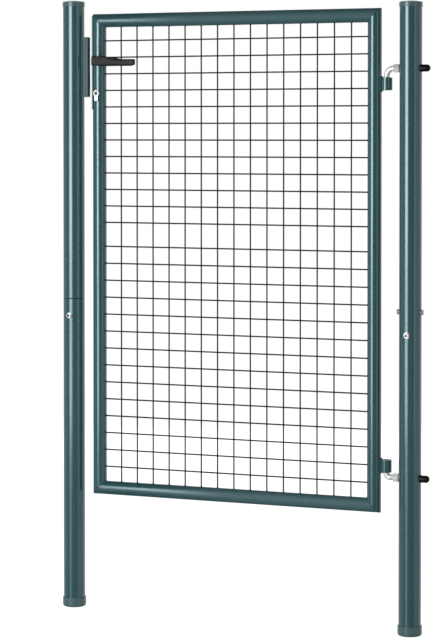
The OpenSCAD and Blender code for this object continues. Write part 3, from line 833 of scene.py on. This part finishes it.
def hinge_sleeve(node):
    """Sleeve on the stile: a turned ring with round edges, and a weld bead round its seat on the stile."""
    low, high = corners(node)
    profile = pipe_profile(
        ROD_R + SLEEVE_CLEARANCE, SLEEVE_R, low[2], high[2], (SLEEVE_EDGE, SLEEVE_EDGE))
    half_w, past_end, corner_r = 7 * MM, 0.5 * MM, 4 * MM
    bottom, top = low[2] - past_end, high[2] + past_end
    seat = outline([
        (-half_w, bottom, corner_r), (half_w, bottom, corner_r),
        (half_w, top, corner_r), (-half_w, top, corner_r)], closed=True)
    path = np.insert(seat, 0, leaf_right, axis=1)
    axis = np.array([*HINGE_AXIS[:2], 0])
    patches = [turned(profile, axis, closed=True), bead(path, X, SLEEVE_WELD_R, closed=True)]
    piece(node + "_skin", patches, FINISHES["green_paint"], "leaf", [node])


def hinge_rod(node, leg_z, pin_end_z, bend):
    """Hinge bolt: a circle carried along the pin, round a quarter bend and along the leg.

    The leg has a thread from the bend to the nut: the radius falls and rises with the turn and the place.
    Both ends are rounded like quarter circles.
    """
    axis_x, end_x = HINGE_AXIS[0], corners(node)[1][0]
    nut_x = corners(node.replace("bolt", "nut"))[0][0]
    flat = outline([(axis_x, pin_end_z, 0), (axis_x, leg_z, bend), (end_x, leg_z, 0)], steps=28)
    path = np.stack([flat[:, 0], np.zeros(len(flat)), flat[:, 1]], axis=1)
    length = path_length(path)
    cap = ROD_TIP * (1 - np.cos(np.linspace(0, TURN / 4, 6)))
    bend_start = abs(leg_z - pin_end_z) - bend
    bend_end = bend_start + bend * TURN / 4
    thread_start = bend_end + THREAD_RUN_OUT
    thread_end = length - (end_x - nut_x) + THREAD_IN_NUT
    thread = np.arange(thread_start, thread_end, THREAD_PITCH / THREAD_STEPS)
    places = np.concatenate([
        cap, np.linspace(bend_start, bend_end, 30), thread, [thread_end + THREAD_RUN_OUT],
        length - cap[::-1]])
    to_end = np.minimum(places, length - places)
    radius = ROD_R - ROD_TIP + np.sqrt(ROD_TIP ** 2 - np.clip(ROD_TIP - to_end, 0, ROD_TIP) ** 2)
    phase = (places[:, None] / THREAD_PITCH - ring(ROD_SEGMENTS) / TURN) % 1
    cut = THREAD_DEPTH * np.abs(2 * phase - 1)
    threaded = (places >= thread_start) & (places < thread_end)
    radius = radius[:, None] - np.where(threaded[:, None], cut, 0)
    piece(node + "_skin", [tube(stations(path, places), Y, radius, ROD_SEGMENTS)],
          FINISHES["zinc"], "posts", [node])


def hinge_nut(node):
    """Nut against the post: a hexagon with both ends cut by cones."""
    low, high = corners(node)
    seat = np.array([high[0], 0, (low[2] + high[2]) / 2])
    nut = hex_block(NUT_AF, high[0] - low[0], ROD_R + NUT_CLEARANCE, seat, -X, Z, both_ends=True)
    piece(node + "_skin", [nut], FINISHES["zinc"], "posts", [node])


def bolt_cap(node):
    """Black cap on a hinge bolt: a foot ring, a plain wall and a round dome.

    The foot reaches to where the round side of the post meets its edge.
    """
    low, high = corners(node)
    length, radius = high[0] - low[0], (high[2] - low[2]) / 2
    wall_r, foot_r, wall_start = radius - BOLT_CAP_STEP, 0.5 * MM, 3.4 * MM
    post_x = middle("hinge_post_foot")[0]
    base = post_x + math.sqrt(POST_R ** 2 - radius ** 2) - low[0]
    crown = dome(wall_r, BOLT_CAP_RISE, length)
    body = outline([
        (*crown[-1], 0), (wall_r, wall_start, foot_r), (radius, BOLT_CAP_FOOT, foot_r),
        (radius, base, 0), (0, base, 0)])
    seat = np.array([low[0], 0, (low[2] + high[2]) / 2])
    piece(node + "_skin", [turned(np.concatenate([crown[:-1], body]), seat, X, Y)],
          FINISHES["black_plastic"], "posts", [node])


def make_hinges():
    """Both hinges: sleeves on the leaf; bolts, nuts and caps on the post."""
    upper_low, upper_high = corners("upper_hinge_bolt")
    lower_low, lower_high = corners("lower_hinge_bolt")
    hinge_rod("upper_hinge_bolt", upper_high[2] - ROD_R, upper_low[2], UPPER_BEND_R)
    hinge_rod("lower_hinge_bolt", lower_low[2] + ROD_R, lower_high[2], LOWER_BEND_R)
    for side in ("upper", "lower"):
        hinge_sleeve(side + "_hinge_sleeve")
        hinge_nut(side + "_hinge_nut")
        bolt_cap(side + "_bolt_cap")


# Lock, strike and handle

def make_strike():
    """Weld beads along both sides of the strike, where its sheet meets the post."""
    low, high = corners("strike_box")
    half = (high[1] - low[1]) / 2 + STRIKE_WELD_OUT
    seam_x = middle("latch_post_foot")[0] + math.sqrt(POST_R ** 2 - half ** 2)
    ends = (low[2] + STRIKE_WELD_INSET, high[2] - STRIKE_WELD_INSET)
    welds = [bead(np.array([[seam_x, side * half, z] for z in ends]), Y, STRIKE_WELD_R) for side in (-1, 1)]
    piece("strike_welds", welds, FINISHES["green_paint"], "posts")


def make_lock():
    """Screws of the face plate and the turning cores of the key cylinder."""
    low, high = corners("lock_faceplate")
    screws = [slotted_disc(SCREW_R, SCREW_RISE, SCREW_SLOT, np.array([low[0] - PROUD, 0, z]), -X, Y)
              for z in (low[2] + SCREW_INSET, high[2] - SCREW_INSET)]
    piece("face_plate_screws", screws, CORE_FINISH, "leaf")
    low, high = corners("profile_cylinder")
    key = np.array([(low[0] + high[0]) / 2, 0, high[2] - (high[0] - low[0]) / 2])
    cores = [slotted_disc(CORE_R, CORE_RISE, KEY_SLOT, key + way * (high[1] + PROUD) * Y, way * Y, Z)
             for way in (-1, 1)]
    piece("key_cores", cores, CORE_FINISH, "leaf")


def section(steps=5, inner=7):
    """Signs and normals round a rectangle with round corners: four arcs, and points along the sides."""
    signs, normals = [], []
    corner_signs = np.array([[1, 1], [-1, 1], [-1, -1], [1, -1], [1, 1]])
    for k in range(4):
        angle = np.linspace(k, k + 1, steps + 1) * TURN / 4
        share = np.linspace(0, 1, inner + 2)[1:-1, None]
        signs += [np.repeat(corner_signs[k:k + 1], steps + 1, axis=0),
                  corner_signs[k] + share * (corner_signs[k + 1] - corner_signs[k])]
        arc = np.stack([np.cos(angle), np.sin(angle)], axis=1)
        normals += [arc, np.repeat(arc[-1:], inner, axis=0)]
    return np.concatenate(signs), np.concatenate(normals)


def make_lever(node, way):
    """Lever: rectangles with round corners carried along the lever, and a turned neck with a collar.

    The top falls in a step and a slope from the root block to the bar, the back steps forward, the front is
    crowned, and both ends close like quarter circles.
    """
    low, high = corners(node)
    axis_x, _, axis_z = HANDLE_AXIS
    face = np.abs(np.array([low[1], high[1]])).max()
    start, end = low[0] - axis_x, high[0] - axis_x
    t = np.linspace(0, TURN / 4, 8)
    run, fall = LEVER_END_R * (1 - np.cos(t)), LEVER_END_R * (1 - np.sin(t))
    bar = np.linspace(start + LEVER_END_R, end - LEVER_END_R, LEVER_STEPS)[1:-1]
    u = np.concatenate([start + run, bar, end - run[::-1]])
    inset = np.concatenate([fall, np.zeros(len(bar)), fall[::-1]])[:, None]
    top = np.interp(u, *LEVER_TOP.T)[:, None]
    back = np.interp(u, *LEVER_BACK.T)[:, None]
    half_y, half_z = (face - back) / 2 - inset, (top - LEVER_BOTTOM) / 2 - inset
    mid_y, mid_z = (face + back) / 2, (top + LEVER_BOTTOM) / 2
    edge = np.maximum(LEVER_EDGE_R - inset, LEVER_LEAST_EDGE)
    signs, normals = section()
    out = mid_y + signs[:, 0] * (half_y - edge) + edge * normals[:, 0]
    up = mid_z + signs[:, 1] * (half_z - edge) + edge * normals[:, 1]
    out = out - LEVER_CROWN * np.clip(normals[:, 0], 0, 1) * ((up - mid_z) / half_z) ** 2
    points = np.stack([axis_x + u[:, None] + 0 * out, way * out, axis_z + up], axis=-1)
    root_r, hollow_r = 0.5 * MM, 2.5 * MM
    neck = outline([
        (0, NECK_START, 0), (NECK_R, NECK_START, root_r), (NECK_R, NECK_END, hollow_r),
        (COLLAR_R, COLLAR_END, 0), (0, COLLAR_END, 0)])
    axis = np.array([axis_x, 0, axis_z])
    piece(node + "_skin", [grid(points, close_cols=True), turned(neck, axis, way * Y, X, 48)],
          FINISHES["black_plastic"], "handle", [node])


def make_handle():
    """Levers on both sides of the leaf."""
    make_lever("front_lever", -1)
    make_lever("rear_lever", 1)


# Lights, floor and camera

FLOOR_HALF = 14.0
FLOOR_GREY = (0.9, 0.9, 0.9, 1)
FLOOR_GLOW = 1.2
FLOOR_GLOW_SHARE = 0.8
AMBIENT = 0.40
FRONT_GLOW = 0.13
STRIP_ASIDE = 0.29
GATE_X = -0.5
CAMERA_PLACE = (1.9867, -5.9231, 1.3399)
CAMERA_AZIMUTH = 23.2724
CAMERA_PITCH = 1.4762
CAMERA_LENS = 132.31
CAMERA_SHIFT = -0.20
CAMERA_SENSOR = 36.0
CAMERA_REACH = 100.0


def make_floor():
    """White floor that keeps a soft shadow; shiny surfaces see the studio's bands in its place."""
    f = new_finish("floor_white")
    lit = f.node("ShaderNodeBsdfDiffuse", None, {"Color": FLOOR_GREY})
    glow = f.node("ShaderNodeEmission", None, {"Color": WHITE, "Strength": FLOOR_GLOW})
    share = FLOOR_GLOW_SHARE * (f.ray("Camera") + f.ray("Transmission"))
    mixed = f.node("ShaderNodeMixShader", None, {0: share, 1: lit, 2: glow})
    f.node("ShaderNodeOutputMaterial", None, {"Surface": mixed})
    ends = np.array([-FLOOR_HALF, FLOOR_HALF])
    points = np.zeros((2, 2, 3))
    points[..., 0], points[..., 1] = ends[None, :], ends[:, None]
    flat, quads = grid(points)
    mesh = bpy.data.meshes.new("floor")
    mesh.from_pydata(flat.tolist(), [], quads.tolist())
    mesh.materials.append(f.owner)
    floor = bpy.data.objects.new("floor", mesh)
    floor.visible_glossy = False
    bpy.context.scene.collection.objects.link(floor)


def make_studio():
    """Surround: white to the eye, an even glow on dull surfaces, and upright bands in shiny ones.

    The bands are white behind the gate, pale at both sides and dim in front, with a faint strip low at the
    left front, and they fade overhead and underfoot. Each ramp goes by a part of the direction, from -1 to 1.
    """
    sky = bpy.data.worlds.new("studio")
    bpy.context.scene.world = sky
    w = Finish(sky)
    seen, glossy, through = (w.ray(kind) for kind in ("Camera", "Glossy", "Transmission"))
    way = w.node("ShaderNodeTexCoord", output="Generated")
    x, y, z = (w.node("ShaderNodeSeparateXYZ", None, {0: way}, output=axis) for axis in "XYZ")
    left = w.ramp(x, -0.65, -1.0, high=0.42)
    right = w.ramp(x, 0.78, 0.95, high=0.55)
    behind = w.ramp(y, 0.25, 0.85, high=0.87)
    aside = x + STRIP_ASIDE
    low_down = w.ramp(z, -0.06, -0.14) * w.ramp(z, -0.22, -0.14, low=0.8, high=2.0)
    strip = w.ramp(aside * aside, 0.05, 0.005) * low_down * w.ramp(y, 0.0, -0.2)
    level = w.ramp(z * z, 0.55, 0.12, low=0.15)
    bands = (FRONT_GLOW + left + right + behind + strip) * level
    plain = 1 - seen - glossy - through
    strength = AMBIENT * plain + seen + through + bands * glossy
    back = w.node("ShaderNodeBackground", None, {"Color": WHITE, "Strength": strength})
    w.node("ShaderNodeOutputWorld", None, {"Surface": back})


def area_light(name, place, aim_z, width, height, power, mirrored=True):
    """Soft box at a place, turned towards the middle of the gate at the height aim_z.

    mirrored says whether shiny surfaces show it.
    """
    data = bpy.data.lights.new(name, "AREA")
    data.shape = "RECTANGLE"
    data.size, data.size_y, data.energy = width, height, power
    made = bpy.data.objects.new(name, data)
    bpy.context.scene.collection.objects.link(made)
    away = np.array(place) - np.array([GATE_X, 0, aim_z])
    away /= np.linalg.norm(away)
    right = np.cross(Z, away)
    right /= np.linalg.norm(right)
    up = np.cross(away, right)
    turn = np.eye(4)
    turn[:3, :3] = np.stack([right, up, away], axis=1)
    turn[:3, 3] = place
    made.matrix_world = Matrix(turn.tolist())
    made.visible_camera = False
    made.visible_glossy = mirrored


def make_lights():
    """A tall key light at the left front, weaker low down, a narrow dim light at the right, and two fills.

    One fill glows by the floor and one lights the back; shiny surfaces show neither.
    """
    area_light("key_light_high", (-1.6, -3.6, 1.75), 1.75, width=2.0, height=1.9, power=90)
    area_light("key_light_low", (-1.6, -3.6, 0.42), 0.42, width=2.0, height=0.76, power=23)
    area_light("side_light", (3.3, -1.8, 1.2), 1.2, width=0.8, height=2.4, power=4.5)
    area_light("floor_glow", (-0.5, -1.4, 0.12), 0.22, width=2.2, height=0.16, power=6, mirrored=False)
    area_light("back_light", (-2.0, 3.9, 1.4), 1.0, width=2.4, height=2.0, power=70, mirrored=False)


def make_camera():
    """Camera at the picture's viewing angle; the picture's long side takes the sensor width."""
    data = bpy.data.cameras.new("camera")
    data.sensor_width = CAMERA_SENSOR
    data.lens = CAMERA_LENS
    data.shift_y = CAMERA_SHIFT
    data.clip_end = CAMERA_REACH
    made = bpy.data.objects.new("camera", data)
    bpy.context.scene.collection.objects.link(made)
    made.location = CAMERA_PLACE
    made.rotation_euler = (math.radians(90 - CAMERA_PITCH), 0, math.radians(CAMERA_AZIMUTH))
    bpy.context.scene.camera = made


finish_nodes()
make_posts()
make_frame()
make_mesh()
make_hinges()
make_strike()
make_lock()
make_handle()
make_floor()
make_studio()
make_lights()
make_camera()
bpy.context.scene.view_settings.view_transform = "Standard"
